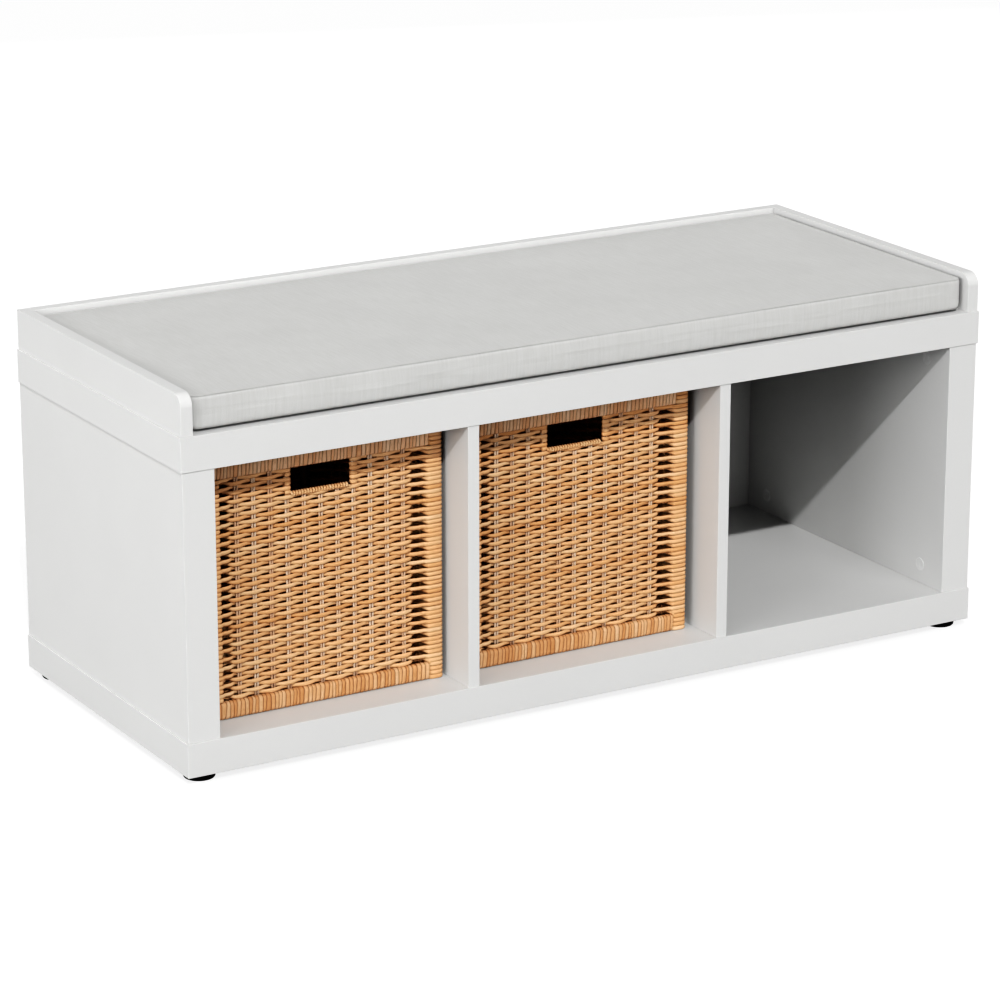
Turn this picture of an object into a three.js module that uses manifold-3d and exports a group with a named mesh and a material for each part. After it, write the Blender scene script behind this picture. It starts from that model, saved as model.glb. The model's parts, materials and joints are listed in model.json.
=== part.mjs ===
// Entryway bench: a white board carcass with two rattan baskets and a loose seat cushion.
// Millimetres, +Z up, the front faces -Y. The origin is on the floor under the middle of the bench.

import * as THREE from 'three';
import { mergeVertices } from 'three/addons/utils/BufferGeometryUtils.js';
import Module from 'manifold-3d';

const wasm = await Module();
wasm.setup();

// Driving dimensions of the carcass.
const LENGTH = 1100;
const DEPTH = 442;
const SLAB = 41;
const BAY_HEIGHT = 320.5;
const FOOT_HEIGHT = 10;
const FOOT_RADIUS = 19;
const FOOT_INSET = 26;
const SIDE_PANEL = 40.2;
const END_INSET = 1.7;
const FRONT_INSET = 1.4;
const DIVIDER = 15;
const SIDE_BAY = 326;
const BACK_SHEET = 3;
const BACK_RECESS = 3;
const RIM_HEIGHT = 48.5;
const RIM = 15;
const RIM_CORNER = 16;

// Cam fittings that draw the side panels against the slabs.
const CAM_RADIUS = 7.5;
const CAM_FROM_FACE = 1.6;
const CAM_END_DEPTH = 28;
const CAM_FROM_SLAB = 24.5;
const CAM_FROM_EDGE = 48.5;
const BOLT_RADIUS = 3.5;
const BOLT_IN_SLAB = 24;
const CAP_RADIUS = 8.6;
const CAP_HEAD = 0.6;
const CAP_PLUG_RADIUS = 6;
const CAP_PLUG = 1;

// Foot screws.
const SCREW_RADIUS = 2;
const SCREW_HEAD_RADIUS = 4.5;
const SCREW_HEAD_BOTTOM = 1;
const SCREW_HEAD = 3;
const SCREW_IN_SLAB = 24;
const FOOT_BORE_RADIUS = 2.6;
const FOOT_RECESS_RADIUS = 6;

// Seat cushion.
const CUSHION_HEIGHT = 40;
const CUSHION_SIDE_GAP = 3;
const CUSHION_BACK_GAP = 2.5;
const CUSHION_FRONT_INSET = 10;
const CUSHION_CORNER = 16;
const COVER = 2.4;
const ZIP_LENGTH = 900;
const ZIP_SLOT = 6;
const ZIP_TAPE = 0.9;
const ZIP_FROM_TOP = 14;
const SLIDER_LENGTH = 12;
const SLIDER_THICKNESS = 1.9;
const SLIDER_HEIGHT = 4.6;

// Rattan baskets.
const BASKET_WIDTH = 320;
const BASKET_DEPTH = 340;
const BASKET_HEIGHT = 312;
const BASKET_SETBACK = 48.7;
const BASKET_SIDE_GAPS = [1.3, 3.1];
const BASKET_CORNER = 5;
const WALL = 9;
const POST = 18;
const TOP_BORDER = 23;
const BOTTOM_BORDER = 21.7;
const BORDER_WIDTH = 12;
const BASE_BOTTOM = 3;
const BASE_THICKNESS = 9;
const HANDLE_WIDTH = 78;
const HANDLE_HEIGHT = 28.7;

const GAP = 0.3;
const CUT = 1;
const ROUND_SEGMENTS = 16;
const CORNER_SEGMENTS = 4;

// Places that follow from the dimensions.
const RIGHT = LENGTH / 2;
const LEFT = -RIGHT;
const FRONT = -DEPTH / 2;
const BACK = DEPTH / 2;
const BASE_TOP = FOOT_HEIGHT + SLAB;
const BAY_TOP = BASE_TOP + BAY_HEIGHT;
const SEAT = BAY_TOP + SLAB;
const PANEL_FRONT = FRONT + FRONT_INSET;
const SIDE_OUTER = RIGHT - END_INSET;
const SIDE_INNER = SIDE_OUTER - SIDE_PANEL;
const BACK_SHEET_FRONT = BACK - BACK_RECESS - BACK_SHEET;
const DIVIDER_INNER = SIDE_INNER - SIDE_BAY - DIVIDER;

// One material for each finish.
const boardWhite = new THREE.MeshStandardMaterial({ color: 0xe6e6e4, roughness: 0.55, metalness: 0 });
const backWhite = new THREE.MeshStandardMaterial({ color: 0xe0e0de, roughness: 0.6, metalness: 0 });
const capWhite = new THREE.MeshStandardMaterial({ color: 0xeeeeec, roughness: 0.4, metalness: 0 });
const footBlack = new THREE.MeshStandardMaterial({ color: 0x18181a, roughness: 0.45, metalness: 0 });
const zincSteel = new THREE.MeshStandardMaterial({ color: 0xb4b6b8, roughness: 0.35, metalness: 1 });
const clothGrey = new THREE.MeshStandardMaterial({ color: 0xcfcfcc, roughness: 0.95, metalness: 0 });
const foamCream = new THREE.MeshStandardMaterial({ color: 0xefe9d6, roughness: 1, metalness: 0 });
const zipGrey = new THREE.MeshStandardMaterial({ color: 0xb9b9b7, roughness: 0.7, metalness: 0 });
const rattan = new THREE.MeshStandardMaterial({ color: 0xd9a263, roughness: 0.6, metalness: 0 });

const bench = new THREE.Group();

function addPiece(name, geometry, material, parent = bench) {
  const mesh = new THREE.Mesh(geometry, material);
  mesh.name = name;
  parent.add(mesh);
  return mesh;
}

// A box between two corners.
function block([x0, y0, z0], [x1, y1, z1]) {
  const geometry = new THREE.BoxGeometry(x1 - x0, y1 - y0, z1 - z0);
  return geometry.translate((x0 + x1) / 2, (y0 + y1) / 2, (z0 + z1) / 2);
}

// A round bar from one point along a row axis.
function bar(radius, length, axis, [x, y, z]) {
  const geometry = new THREE.CylinderGeometry(radius, radius, length, ROUND_SEGMENTS);
  if (axis === 'z') geometry.rotateX(Math.PI / 2);
  if (axis === 'x') geometry.rotateZ(-Math.PI / 2);
  const half = length / 2;
  return geometry.translate(axis === 'x' ? x + half : x, y, axis === 'z' ? z + half : z);
}

function toSolid(geometry) {
  const bare = geometry.clone();
  bare.deleteAttribute('normal');
  bare.deleteAttribute('uv');
  const merged = mergeVertices(bare, 1e-4);
  const vertProperties = new Float32Array(merged.attributes.position.array);
  const triVerts = new Uint32Array(merged.index.array);
  return new wasm.Manifold(new wasm.Mesh({ numProp: 3, vertProperties, triVerts }));
}

function toGeometry(solid) {
  const mesh = solid.getMesh();
  const geometry = new THREE.BufferGeometry();
  geometry.setAttribute('position', new THREE.BufferAttribute(mesh.vertProperties, 3));
  geometry.setIndex(new THREE.BufferAttribute(mesh.triVerts, 1));
  return geometry;
}

function cutAway(geometry, cutters) {
  const solid = cutters.reduce((left, cutter) => left.subtract(toSolid(cutter)), toSolid(geometry));
  return toGeometry(solid);
}

// A rectangle with rounded corners, drawn counter-clockwise.
function roundedOutline(width, depth, radius) {
  const x = width / 2 - radius;
  const y = depth / 2 - radius;
  const outline = new THREE.Shape();
  outline.absarc(x, -y, radius, -Math.PI / 2, 0, false);
  outline.absarc(x, y, radius, 0, Math.PI / 2, false);
  outline.absarc(-x, y, radius, Math.PI / 2, Math.PI, false);
  outline.absarc(-x, -y, radius, Math.PI, 1.5 * Math.PI, false);
  outline.closePath();
  return outline;
}

function raise(outline, height) {
  return new THREE.ExtrudeGeometry(outline, {
    depth: height,
    bevelEnabled: false,
    curveSegments: CORNER_SEGMENTS,
  });
}

// The eight cam fittings: side is -1 on the left and 1 on the right, end is -1 at the front and
// 1 at the back, level is -1 at the base slab and 1 at the top slab.
function camPlaces() {
  const places = [];
  for (const side of [-1, 1]) {
    for (const end of [-1, 1]) {
      for (const level of [-1, 1]) {
        const names = [side < 0 ? 'left' : 'right', end < 0 ? 'front' : 'back', level < 0 ? 'low' : 'high'];
        places.push({
          label: names.join('_'),
          side,
          level,
          y: end * (BACK - CAM_FROM_EDGE),
          z: level < 0 ? BASE_TOP + CAM_FROM_SLAB : BAY_TOP - CAM_FROM_SLAB,
        });
      }
    }
  }
  return places;
}

const CAMS = camPlaces();
const BOLT_X = SIDE_INNER + SIDE_PANEL / 2;

// A bar along X that starts at a depth behind a side panel's inner face and runs outwards.
function barIntoSide(place, radius, depth, length) {
  const start = place.side > 0 ? SIDE_INNER + depth : -SIDE_INNER - depth - length;
  return bar(radius, length, 'x', [start, place.y, place.z]);
}

// A bar along Z from the cam's axis through the panel's end and into the slab.
function boltBar(place, radius, inSlab) {
  const length = CAM_FROM_SLAB + inSlab;
  const z = place.level < 0 ? place.z - length : place.z;
  return bar(radius, length, 'z', [place.side * BOLT_X, place.y, z]);
}

function slabWithBores(bottom, level) {
  const slab = block([LEFT, FRONT, bottom], [RIGHT, BACK, bottom + SLAB]);
  const bores = CAMS.filter((place) => place.level === level)
    .map((place) => boltBar(place, BOLT_RADIUS + GAP, BOLT_IN_SLAB + CUT));
  return { slab, bores };
}

function footPlaces() {
  const places = [];
  for (const [endName, y] of [['front', FRONT + FOOT_INSET], ['back', BACK - FOOT_INSET]]) {
    for (const [sideName, x] of [['left', LEFT + FOOT_INSET], ['right', RIGHT - FOOT_INSET]]) {
      places.push({ label: `${endName}_${sideName}`, x, y });
    }
  }
  return places;
}

function addSlabs() {
  const base = slabWithBores(FOOT_HEIGHT, -1);
  const screwBores = footPlaces().map(({ x, y }) => (
    bar(SCREW_RADIUS + GAP, SCREW_IN_SLAB + 2 * CUT, 'z', [x, y, FOOT_HEIGHT - CUT])
  ));
  addPiece('base_panel', cutAway(base.slab, [...base.bores, ...screwBores]), boardWhite);
  const top = slabWithBores(BAY_TOP, 1);
  addPiece('top_panel', cutAway(top.slab, top.bores), boardWhite);
}

function addUprights() {
  for (const [name, side] of [['left', -1], ['right', 1]]) {
    const inner = side * SIDE_INNER;
    const outer = side * SIDE_OUTER;
    const panel = block(
      [Math.min(inner, outer), PANEL_FRONT, BASE_TOP],
      [Math.max(inner, outer), BACK, BAY_TOP],
    );
    const pockets = CAMS.filter((place) => place.side === side).flatMap((place) => [
      barIntoSide(place, CAM_RADIUS + GAP, -CUT, CAM_END_DEPTH + GAP + CUT),
      boltBar(place, BOLT_RADIUS + GAP, CUT),
    ]);
    addPiece(`${name}_side_panel`, cutAway(panel, pockets), boardWhite);
    const near = side * DIVIDER_INNER;
    const far = side * (DIVIDER_INNER + DIVIDER);
    addPiece(
      `${name}_divider`,
      block(
        [Math.min(near, far), PANEL_FRONT, BASE_TOP],
        [Math.max(near, far), BACK_SHEET_FRONT, BAY_TOP],
      ),
      boardWhite,
    );
  }
  addPiece(
    'back_panel',
    block(
      [-SIDE_INNER, BACK_SHEET_FRONT, BASE_TOP],
      [SIDE_INNER, BACK_SHEET_FRONT + BACK_SHEET, BAY_TOP],
    ),
    backWhite,
  );
}

// A side rim is a board on edge whose top front corner is rounded.
function sideRim() {
  const length = BACK - PANEL_FRONT;
  const outline = new THREE.Shape();
  outline.moveTo(0, 0);
  outline.lineTo(length, 0);
  outline.lineTo(length, RIM_HEIGHT);
  outline.lineTo(RIM_CORNER, RIM_HEIGHT);
  outline.absarc(RIM_CORNER, RIM_HEIGHT - RIM_CORNER, RIM_CORNER, Math.PI / 2, Math.PI, false);
  outline.closePath();
  const geometry = new THREE.ExtrudeGeometry(outline, {
    depth: RIM,
    bevelEnabled: false,
    curveSegments: 2 * CORNER_SEGMENTS,
  });
  // The outline's X runs along the bench's depth, and the extrusion runs along its length.
  geometry.rotateX(Math.PI / 2);
  return geometry.rotateZ(Math.PI / 2);
}

function addRims() {
  const right = addPiece('right_rim', sideRim(), boardWhite);
  right.position.set(SIDE_OUTER - RIM, PANEL_FRONT, SEAT);
  const left = addPiece('left_rim', sideRim(), boardWhite);
  left.position.set(-SIDE_OUTER, PANEL_FRONT, SEAT);
  const inner = SIDE_OUTER - RIM;
  addPiece('back_rim', block([-inner, BACK - RIM, SEAT], [inner, BACK, SEAT + RIM_HEIGHT]), boardWhite);
}

function addFeet() {
  const chamfer = 2;
  const recessTop = SCREW_HEAD_BOTTOM + SCREW_HEAD + GAP;
  const footProfile = [
    [FOOT_RECESS_RADIUS, 0],
    [FOOT_RADIUS - chamfer, 0],
    [FOOT_RADIUS, chamfer],
    [FOOT_RADIUS, FOOT_HEIGHT],
    [FOOT_BORE_RADIUS, FOOT_HEIGHT],
    [FOOT_BORE_RADIUS, recessTop],
    [FOOT_RECESS_RADIUS, recessTop],
    [FOOT_RECESS_RADIUS, 0],
  ];
  const headTop = SCREW_HEAD_BOTTOM + SCREW_HEAD;
  const screwProfile = [
    [0, SCREW_HEAD_BOTTOM],
    [SCREW_HEAD_RADIUS - 1, SCREW_HEAD_BOTTOM],
    [SCREW_HEAD_RADIUS, SCREW_HEAD_BOTTOM + 1],
    [SCREW_HEAD_RADIUS, headTop],
    [SCREW_RADIUS, headTop],
    [SCREW_RADIUS, FOOT_HEIGHT + SCREW_IN_SLAB - SCREW_RADIUS],
    [0, FOOT_HEIGHT + SCREW_IN_SLAB],
  ];
  for (const { label, x, y } of footPlaces()) {
    addPiece(`foot_${label}`, turned(footProfile), footBlack).position.set(x, y, 0);
    addPiece(`foot_screw_${label}`, turned(screwProfile), zincSteel).position.set(x, y, 0);
  }
}

// A profile of [radius, height] points turned about Z.
function turned(profile) {
  const points = profile.map(([radius, height]) => new THREE.Vector2(radius, height));
  const geometry = new THREE.LatheGeometry(points, ROUND_SEGMENTS);
  return geometry.rotateX(Math.PI / 2);
}

// A cap is a thin domed head on the panel's face, with a short plug in the cam's pocket.
function camCap(side) {
  const profile = [
    [0, -CAP_PLUG],
    [CAP_PLUG_RADIUS, -CAP_PLUG],
    [CAP_PLUG_RADIUS, 0],
    [CAP_RADIUS, 0],
    [CAP_RADIUS, CAP_HEAD / 2],
    [CAP_RADIUS - 1, CAP_HEAD],
    [0, CAP_HEAD],
  ];
  return turned(profile).rotateY(-side * Math.PI / 2);
}

function addCams() {
  for (const place of CAMS) {
    const cam = barIntoSide(place, CAM_RADIUS, CAM_FROM_FACE, CAM_END_DEPTH - CAM_FROM_FACE);
    const bolt = boltBar(place, BOLT_RADIUS, BOLT_IN_SLAB);
    const fitting = toGeometry(toSolid(cam).add(toSolid(bolt)));
    addPiece(`cam_fitting_${place.label}`, fitting, zincSteel);
    const cap = addPiece(`cam_cap_${place.label}`, camCap(place.side), capWhite);
    cap.position.set(place.side * SIDE_INNER, place.y, place.z);
  }
}

function addCushion() {
  const width = 2 * (SIDE_OUTER - RIM - CUSHION_SIDE_GAP);
  const front = FRONT + CUSHION_FRONT_INSET;
  const back = BACK - RIM - CUSHION_BACK_GAP;
  const depth = back - front;
  const middle = (front + back) / 2;
  const shell = (inset) => {
    const outline = roundedOutline(width - 2 * inset, depth - 2 * inset, CUSHION_CORNER - inset);
    return raise(outline, CUSHION_HEIGHT - 2 * inset).translate(0, middle, SEAT + inset);
  };
  const zipHigh = SEAT + CUSHION_HEIGHT - ZIP_FROM_TOP;
  const zipLow = zipHigh - ZIP_SLOT;
  const half = ZIP_LENGTH / 2;
  const slot = block([-half, back - COVER - CUT, zipLow], [half, back + CUT, zipHigh]);
  addPiece('cushion_cover', cutAway(shell(0), [shell(COVER), slot]), clothGrey);
  addPiece('cushion_foam', shell(COVER + GAP), foamCream);

  const tapeBack = back - COVER + ZIP_TAPE;
  addPiece(
    'cushion_zip',
    block([-half + GAP, back - COVER, zipLow + GAP], [half - GAP, tapeBack, zipHigh - GAP]),
    zipGrey,
  );
  const sliderMiddle = (zipLow + zipHigh) / 2;
  const sliderRight = half - 2 * GAP;
  addPiece(
    'zip_slider',
    block(
      [sliderRight - SLIDER_LENGTH, tapeBack + GAP, sliderMiddle - SLIDER_HEIGHT / 2],
      [sliderRight, tapeBack + GAP + SLIDER_THICKNESS, sliderMiddle + SLIDER_HEIGHT / 2],
    ),
    zincSteel,
  );
}

// A rectangular hoop of a border's height, as wide as the wrapped border.
function hoop(height) {
  const outer = raise(roundedOutline(BASKET_WIDTH, BASKET_DEPTH, BASKET_CORNER), height);
  const innerWidth = BASKET_WIDTH - 2 * BORDER_WIDTH;
  const innerDepth = BASKET_DEPTH - 2 * BORDER_WIDTH;
  const inner = block([-innerWidth / 2, -innerDepth / 2, -CUT], [innerWidth / 2, innerDepth / 2, height + CUT]);
  return cutAway(outer, [inner]);
}

// A basket about its own origin: the middle of its underside.
function addBasket(label, x) {
  const basket = new THREE.Group();
  basket.position.set(x, FRONT + BASKET_SETBACK + BASKET_DEPTH / 2, BASE_TOP);
  bench.add(basket);
  const low = BOTTOM_BORDER;
  const high = BASKET_HEIGHT - TOP_BORDER;
  const halfWidth = BASKET_WIDTH / 2;
  const halfDepth = BASKET_DEPTH / 2;

  const handle = block(
    [-HANDLE_WIDTH / 2, -halfDepth - CUT, high - HANDLE_HEIGHT],
    [HANDLE_WIDTH / 2, halfDepth + CUT, high + CUT],
  );
  for (const [wallName, y] of [['front', -halfDepth], ['back', halfDepth - WALL]]) {
    const wall = block([-halfWidth + POST, y, low], [halfWidth - POST, y + WALL, high]);
    addPiece(`${label}_basket_${wallName}`, cutAway(wall, [handle]), rattan, basket);
  }
  for (const [wallName, wallX] of [['left', -halfWidth], ['right', halfWidth - WALL]]) {
    const wall = block([wallX, -halfDepth + POST, low], [wallX + WALL, halfDepth - POST, high]);
    addPiece(`${label}_basket_${wallName}`, wall, rattan, basket);
  }
  for (const [endName, y] of [['front', -1], ['back', 1]]) {
    for (const [sideName, side] of [['left', -1], ['right', 1]]) {
      const post = raise(roundedOutline(POST, POST, BASKET_CORNER), high - low);
      const name = `${label}_basket_post_${endName}_${sideName}`;
      const centre = [side * (halfWidth - POST / 2), y * (halfDepth - POST / 2)];
      addPiece(name, post.translate(...centre, low), rattan, basket);
    }
  }
  addPiece(`${label}_basket_top_border`, hoop(TOP_BORDER), rattan, basket).position.z = high;
  addPiece(`${label}_basket_bottom_border`, hoop(BOTTOM_BORDER), rattan, basket);
  const inside = BORDER_WIDTH + GAP;
  addPiece(
    `${label}_basket_base`,
    block(
      [-halfWidth + inside, -halfDepth + inside, BASE_BOTTOM],
      [halfWidth - inside, halfDepth - inside, BASE_BOTTOM + BASE_THICKNESS],
    ),
    rattan,
    basket,
  );
}

addSlabs();
addUprights();
addRims();
addFeet();
addCams();
addCushion();
const bayLefts = [-SIDE_INNER, -DIVIDER_INNER];
['left', 'middle'].forEach((label, i) => {
  addBasket(label, bayLefts[i] + BASKET_SIDE_GAPS[i] + BASKET_WIDTH / 2);
});

export default bench;
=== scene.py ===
import json
import math

import bmesh
import bpy
import numpy as np
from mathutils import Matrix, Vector, kdtree


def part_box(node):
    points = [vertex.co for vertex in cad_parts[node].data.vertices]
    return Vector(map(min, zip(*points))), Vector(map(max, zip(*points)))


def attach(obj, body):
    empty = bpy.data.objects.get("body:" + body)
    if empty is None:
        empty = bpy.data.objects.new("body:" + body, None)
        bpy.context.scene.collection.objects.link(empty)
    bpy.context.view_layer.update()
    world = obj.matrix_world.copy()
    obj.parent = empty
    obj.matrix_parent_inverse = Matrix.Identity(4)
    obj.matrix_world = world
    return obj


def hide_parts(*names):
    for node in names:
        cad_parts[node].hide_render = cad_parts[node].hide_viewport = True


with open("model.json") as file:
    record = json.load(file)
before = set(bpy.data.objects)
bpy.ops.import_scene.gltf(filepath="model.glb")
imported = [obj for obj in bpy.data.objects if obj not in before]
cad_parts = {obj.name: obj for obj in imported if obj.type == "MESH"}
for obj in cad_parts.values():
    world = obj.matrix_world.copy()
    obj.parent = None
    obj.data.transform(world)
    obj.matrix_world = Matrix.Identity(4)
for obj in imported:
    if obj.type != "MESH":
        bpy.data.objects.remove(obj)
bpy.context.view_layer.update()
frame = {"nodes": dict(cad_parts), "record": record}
MM = 0.001

# Camera: it looks at the bench from its front left, from above.
CAMERA_PLACE = Vector((-2.349, -3.959, 1.629))
CAMERA_AZIMUTH = math.radians(-30.58)
CAMERA_ELEVATION = math.radians(17.30)
CAMERA_LENS = 140.6

# Lights.
SUN_FROM = Vector((-0.277, -0.693, 0.665))
SUN_STRENGTH = 1.68
SUN_ANGLE = math.radians(1.3)
WORLD_STRENGTH = 0.16
BACKDROP = 0.99
# Direction from the bench, distance, width and height in metres, and power in watts.
SOFTBOXES = {
    "side_fill": ((-1.0, -0.15, 0.10), 4.0, 4.0, 2.4, 107.0),
    "left_fill": ((-0.77, -0.64, 0.32), 8.0, 6.0, 4.0, 105.0),
    "front_fill": ((0.25, -1.0, 0.30), 8.0, 3.0, 2.0, 148.0),
    "top_fill": ((-0.1, 0.25, 1.0), 3.0, 3.0, 2.0, 13.0),
    "back_fill": ((0.35, 1.0, 0.30), 4.0, 4.0, 2.0, 60.0),
}
BENCH_MIDDLE = Vector((0, 0, 0.3))
FLOOR_PAINT = 0.30
FLOOR_GLOW = 0.81
FLOOR_BOUNCE = 0.15
FLOOR_SIZE = 60.0

TONE_CURVE = [(0.02, 0.003), (0.08, 0.032), (0.20, 0.145), (0.40, 0.385), (0.60, 0.60)]

# Cushion.
SEAM_DEPTH = 1.35 * MM
CUSHION_LIFT = 3.6 * MM
CUSHION_RISE = 2.2 * MM
CROWN_LIMIT = 2.2 * MM
SIDE_LIMIT = 1.2 * MM
CUSHION_CORNER = 10.0 * MM
CUSHION_ROLL = 2.0 * MM
THREAD_PITCH = 1.1 * MM
CLOTH_FRAMES = 20

# Rattan.
STAKE_PITCH = 21.65 * MM
STAKE_RADIUS = 1.25 * MM
STAKE_SPREAD = 1.55 * MM
ROW_COUNT = 50
WEAVER_HALF_HEIGHT = 2.7 * MM
WEAVER_HALF_DEPTH = 1.25 * MM
WEAVER_RISE = 0.5 * MM
WEAVE_SWING = 2.35 * MM
WEAVE_INSET = 7.4 * MM
CORNER_GAP_INSET = 16.0 * MM
POST_INSET = 1.7 * MM
START_WINDING = 26.5 * MM
START_GAP = 35.0 * MM
END_WINDING = 20.5 * MM
END_GAP = 32.5 * MM
POST_BEND = 5.5 * MM
BORDER_END = 20.5 * MM
WRAP_WIDTH = 5.0 * MM
WRAP_RELIEF = 1.3 * MM
BORDER_DEPTH = 11.6 * MM
HOLE_STAKE = 2 * STAKE_PITCH
SILL_HEIGHT = 5.5 * MM
SILL_PITCH = 3.6 * MM
CANE_RADIUS = 6.2 * MM
CANE_INSET = 11.0 * MM
BASE_ROW_PITCH = 5.4 * MM
CORNER_RADIUS = 7.0 * MM
CORNER_STEPS = 5
SAMPLES_PER_PITCH = 6
STRAND_SIDES = 8
UP = (0.0, 0.0, 1.0)


def random_source(seed):
    return np.random.default_rng(seed)


# ---- materials


class Graph:
    """The nodes of one material, with a short call for each kind of node that the materials use."""

    def __init__(self, name):
        self.material = bpy.data.materials.new(name)
        self.material.use_nodes = True
        self.nodes = self.material.node_tree.nodes
        self.links = self.material.node_tree.links
        self.shader = self.nodes["Principled BSDF"]

    def put(self, socket, value):
        """Links an output to a socket, or sets the socket's own value."""
        if isinstance(value, bpy.types.NodeSocket):
            self.links.new(value, socket)
        elif isinstance(value, tuple):
            socket.default_value = (*value, 1.0) if socket.type == "RGBA" else value
        else:
            socket.default_value = value

    def shade(self, **values):
        """Sets or links sockets of the shader. Base_Color stands for the socket named Base Color."""
        for name, value in values.items():
            self.put(self.shader.inputs[name.replace("_", " ")], value)

    def node(self, kind, output, **values):
        """A new node with the named sockets filled in, and one of its outputs."""
        node = self.nodes.new("ShaderNode" + kind)
        for name, value in values.items():
            self.put(node.inputs[name.replace("_", " ")], value)
        return node.outputs[output]

    def place(self):
        return self.nodes.new("ShaderNodeTexCoord").outputs["Object"]

    def attribute(self, name):
        node = self.nodes.new("ShaderNodeAttribute")
        node.attribute_name = name
        return node.outputs["Fac"]

    def noise(self, vector, scale, detail=2.0, roughness=0.5):
        return self.node("TexNoise", "Fac", Vector=vector, Scale=scale, Detail=detail, Roughness=roughness)

    def ramp(self, factor, stops):
        node = self.nodes.new("ShaderNodeValToRGB")
        elements = node.color_ramp.elements
        while len(elements) < len(stops):
            elements.new(0.5)
        for element, (position, colour) in zip(elements, stops):
            element.position = position
            element.color = (*colour, 1.0)
        self.put(node.inputs["Fac"], factor)
        return node.outputs["Color"]

    def mix(self, blend, factor, a, b):
        node = self.nodes.new("ShaderNodeMix")
        node.data_type = "RGBA"
        node.blend_type = blend
        for name, value in (("Factor", factor), ("A", a), ("B", b)):
            self.put(node.inputs[name], value)
        return node.outputs["Result"]

    def scaled(self, value, low, high):
        """Maps 0 to 1 onto a range."""
        return self.node("MapRange", "Result", Value=value, To_Min=low, To_Max=high)

    def math(self, operation, a, b=0.0):
        node = self.nodes.new("ShaderNodeMath")
        node.operation = operation
        self.put(node.inputs[0], a)
        self.put(node.inputs[1], b)
        return node.outputs["Value"]

    def bump(self, height, distance, strength, **normal):
        return self.node("Bump", "Normal", Height=height, Distance=distance, Strength=strength, **normal)


def board_material(name, colour, roughness):
    """Melamine-faced board: a fine emboss, a trace of mottle and slightly duller patches."""
    g = Graph(name)
    place = g.place()
    darker = tuple(c * 0.985 for c in colour)
    tone = g.ramp(g.noise(place, 9.0, 4.0), [(0.35, darker), (0.65, colour)])
    grain = g.noise(place, 1400.0, 3.0, 0.6)
    speck = g.ramp(grain, [(0.30, (0.93, 0.93, 0.93)), (0.45, (1.0, 1.0, 1.0))])
    rough = g.scaled(g.noise(place, 25.0, 3.0), roughness - 0.05, roughness + 0.06)
    emboss = g.noise(place, 900.0, 2.0)
    g.shade(Base_Color=g.mix("MULTIPLY", 0.35, tone, speck), Roughness=rough, Specular_IOR_Level=0.4,
            Normal=g.bump(emboss, 0.00005, 0.35))
    return g.material


def plastic_material(name, colour, roughness):
    """Moulded plastic with a fine spark texture and faint handling marks."""
    g = Graph(name)
    place = g.place()
    wear = g.noise(place, 120.0, 5.0, 0.6)
    lighter = tuple(min(1.0, c * 1.25 + 0.01) for c in colour)
    spark = g.noise(place, 2600.0, 2.0)
    g.shade(Base_Color=g.ramp(wear, [(0.45, colour), (0.8, lighter)]),
            Roughness=g.scaled(wear, roughness - 0.08, roughness + 0.12), Normal=g.bump(spark, 0.0001, 0.4))
    return g.material


def steel_material():
    """Zinc-plated steel: cloudy, with fine turning marks."""
    g = Graph("zinc_steel")
    place = g.place()
    cloud = g.noise(place, 160.0, 4.0)
    tone = g.ramp(cloud, [(0.3, (0.50, 0.50, 0.49)), (0.7, (0.68, 0.68, 0.66))])
    marks = g.noise(place, 1800.0, 2.0)
    g.shade(Base_Color=tone, Metallic=1.0, Roughness=g.scaled(cloud, 0.28, 0.5),
            Normal=g.bump(marks, 0.00008, 0.4))
    return g.material


def cloth_material(name, colour):
    """Fine plain-woven cloth: two crossed thread ripples, slubs, a soft change of tone and painted shade
    where the ripple is low.
    """
    g = Graph(name)
    place = g.place()
    x, y, z = (g.node("SeparateXYZ", axis, Vector=place) for axis in "XYZ")
    per_thread = 2 * math.pi / THREAD_PITCH
    threads = [g.math("SINE", g.math("MULTIPLY", across, per_thread)) for across in (x, g.math("ADD", y, z))]
    weave = g.math("MULTIPLY", *threads)
    stretched = g.node("Mapping", "Vector", Vector=place, Scale=(420.0, 26.0, 26.0))
    slub = g.noise(stretched, 1.0, 3.0, 0.6)
    darker = tuple(c * 0.955 for c in colour)
    tone = g.ramp(g.noise(place, 14.0, 4.0, 0.55), [(0.3, darker), (0.7, colour)])
    streak = g.ramp(slub, [(0.35, (0.93, 0.93, 0.92)), (0.65, (1.0, 1.0, 1.0))])
    # Painted shade: the cloth is darkened a little where the thread ripple is low.
    hollow_shade = g.scaled(weave, 0.955, 1.0)
    hollow_shade_colour = g.node("CombineColor", "Color", Red=hollow_shade, Green=hollow_shade, Blue=hollow_shade)
    toned = g.mix("MULTIPLY", 1.0, g.mix("MULTIPLY", 0.7, tone, streak), hollow_shade_colour)
    fine = g.bump(weave, 0.00012, 0.5)
    g.shade(Base_Color=toned, Roughness=g.scaled(slub, 0.86, 0.97), Sheen_Weight=0.12, Sheen_Roughness=0.5,
            Specular_IOR_Level=0.2, Normal=g.bump(slub, 0.0003, 0.5, Normal=fine))
    return g.material


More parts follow.
